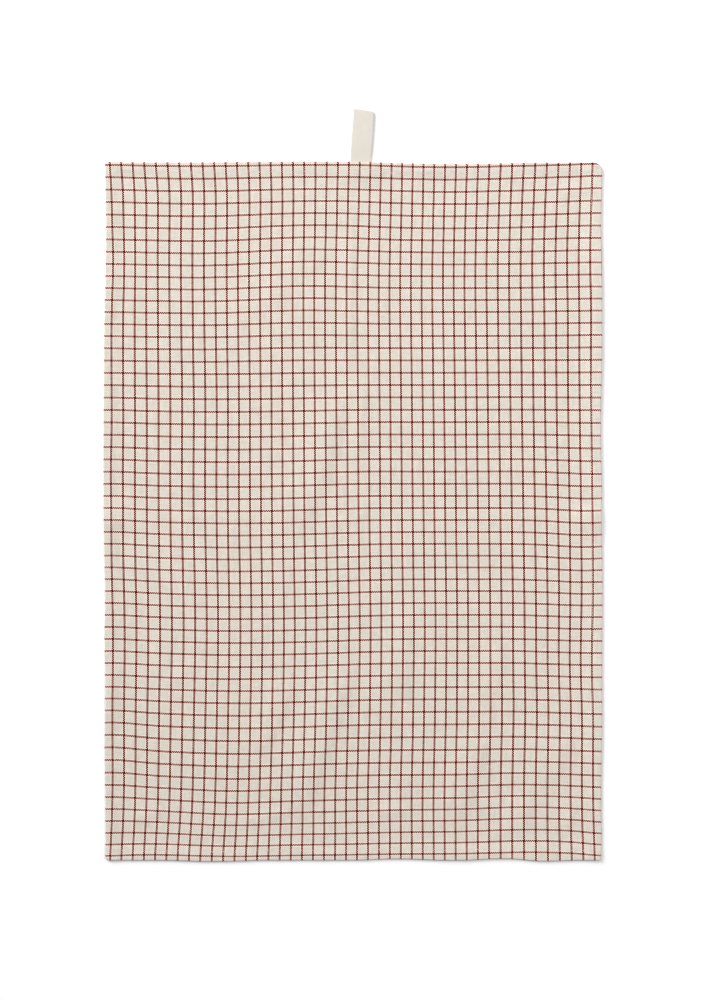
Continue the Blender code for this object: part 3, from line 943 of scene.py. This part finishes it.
def make_checked_cotton(group):
    """Cream plain weave with two red yarns to each check, both ways, and lighter and darker yarns."""
    material, tree, shader = start_material("checked_cotton", roughness=0.95, specular=0.1)
    threads = add_node(tree, "ShaderNodeUVMap", uv_map="threads")
    split = add_node(tree, "ShaderNodeSeparateXYZ", "checks")
    tree.links.new(threads.outputs["UV"], split.inputs[0])
    from_warp = line_distance(tree, split.outputs["X"])
    from_weft = line_distance(tree, split.outputs["Y"])
    # the two red yarns keep together, so the spacing wanders only between the lines
    room = add_node(tree, "ShaderNodeCombineXYZ", "room to wander")
    join(tree, calculate(tree, "MULTIPLY", from_warp, 2 * YARN_WANDER), room.inputs["X"])
    join(tree, calculate(tree, "MULTIPLY", from_weft, 2 * YARN_WANDER), room.inputs["Y"])
    scale = (YARNS_A_CHECK, YARNS_A_CHECK)
    weave = place_weave(tree, group, threads, scale, COTTON_CRIMP, room.outputs[0])
    # stray red fibres and dye blush the cream yarns beside a red one
    nearest = calculate(tree, "MINIMUM", from_warp, from_weft)
    blush = remap(tree, "blush beside the lines", nearest, BLUSH_START, BLUSH_REACH, 1.0, 0.0)
    cream = blend_colour(tree, blush, (*CREAM, 1), (*BLUSHED_CREAM, 1))
    red_share, red = weave_red_yarns(tree, weave, from_warp, from_weft)
    colour = blend_colour(tree, red_share, cream, red)
    # the yarns' own unevenness, and painted shade in the gaps between them
    tone = remap(tree, "uneven yarns", weave.outputs["Yarn Tone"], *NOISE_RANGE, *COTTON_TONES)
    gaps = remap(tree, "gaps between yarns", weave.outputs["Height"], *GAP_HEIGHTS, GAP_SHADE, 1.0)
    shade_colour(tree, shader, colour, calculate(tree, "MULTIPLY", tone, gaps))
    add_relief(tree, shader, weave.outputs["Height"], strength=0.6, distance=COTTON_RELIEF)
    shader.inputs["Sheen Weight"].default_value = 0.1
    shader.inputs["Sheen Roughness"].default_value = 0.6
    return material


def make_woven_tape(group):
    """Closely woven off-white tape."""
    material, tree, shader = start_material("woven_tape", roughness=0.9, specular=0.1)
    threads = add_node(tree, "ShaderNodeUVMap", uv_map="threads")
    weave = place_weave(tree, group, threads, TAPE_YARNS, TAPE_CRIMP, TAPE_WANDER)
    weave.inputs["Warp Bias"].default_value = TAPE_WARP_LEAD
    tone = remap(tree, "uneven yarns", weave.outputs["Yarn Tone"], *NOISE_RANGE, *TAPE_TONES)
    shade_colour(tree, shader, TAPE_CREAM, tone)
    add_relief(tree, shader, weave.outputs["Height"], strength=0.5, distance=TAPE_RELIEF)
    return material


def make_sewing_thread():
    """Cream sewing thread, with fine fibres."""
    material, tree, shader = start_material("sewing_thread", roughness=0.7, specular=0.5)
    place = add_node(tree, "ShaderNodeTexCoord")
    fibres = add_node(tree, "ShaderNodeTexNoise", "fibres")
    fibres.inputs["Scale"].default_value = THREAD_FIBRES
    tree.links.new(place.outputs["Object"], fibres.inputs["Vector"])
    dark = tuple(THREAD_SHADE * part for part in THREAD_CREAM)
    colour = blend_colour(tree, fibres.outputs["Fac"], (*dark, 1), (*THREAD_CREAM, 1))
    tree.links.new(colour, shader.inputs["Base Color"])
    add_relief(tree, shader, fibres.outputs["Fac"], strength=0.4, distance=FIBRE_RELIEF)
    return material


# The floor, the light and the camera


def make_floor():
    """A plain pale floor that the towel lies on."""
    start_alone()
    bpy.ops.mesh.primitive_plane_add(size=FLOOR_SIZE, location=(0, 0, -FLOOR_DROP))
    floor = bpy.context.object
    floor.name = "floor"
    material, _, shader = start_material("pale_floor", roughness=1.0, specular=0.0)
    shader.inputs["Base Color"].default_value = (*FLOOR_WHITE, 1)
    floor.data.materials.append(material)


def add_lamp(lamp):
    """A square light that faces the middle of the cloth."""
    light = bpy.data.lights.new(lamp.name, "AREA")
    light.shape = "SQUARE"
    light.size = lamp.size
    light.energy = lamp.power
    holder = bpy.data.objects.new(lamp.name, light)
    bpy.context.scene.collection.objects.link(holder)
    holder.location = lamp.place
    holder.rotation_euler = (-Vector(lamp.place)).to_track_quat("-Z", "Y").to_euler()


def light_scene():
    """A large soft light up and to the left, a weak one above the right side, and an even white room."""
    for lamp in LAMPS:
        add_lamp(lamp)
    world = bpy.data.worlds.new("white_room")
    world.use_nodes = True
    backdrop = world.node_tree.nodes["Background"]
    backdrop.inputs["Color"].default_value = (1, 1, 1, 1)
    backdrop.inputs["Strength"].default_value = ROOM_LIGHT
    scene = bpy.context.scene
    scene.world = world
    scene.view_settings.view_transform = "Standard"
    scene.cycles.filter_width = PIXEL_FILTER
    scene.cycles.denoising_prefilter = "NONE"  # the usual one smears the check


def place_camera():
    """A camera straight above, whose picture takes in the photo's stretch of floor."""
    camera = bpy.data.cameras.new("photo_camera")
    camera.sensor_width = SENSOR
    camera.lens = SENSOR * CAMERA_HIGH / VIEW_LONG_SIDE
    camera.clip_end = CAMERA_FAR
    holder = bpy.data.objects.new("photo_camera", camera)
    bpy.context.scene.collection.objects.link(holder)
    holder.location = (CAMERA_RIGHT, CAMERA_UP, CAMERA_HIGH)
    bpy.context.scene.camera = holder


place_camera()
weave_group = make_weave_group()
thread = make_sewing_thread()
cloth = make_cloth(make_checked_cotton(weave_group))
tape = make_loop_tape(make_woven_tape(weave_group))
hem_seam = make_stitches("hem_seam", seam_places(), thread, SEAM_SEED)
loop_bar = make_stitches("loop_bar", bar_places(), thread, BAR_SEED)
make_floor()
light_scene()
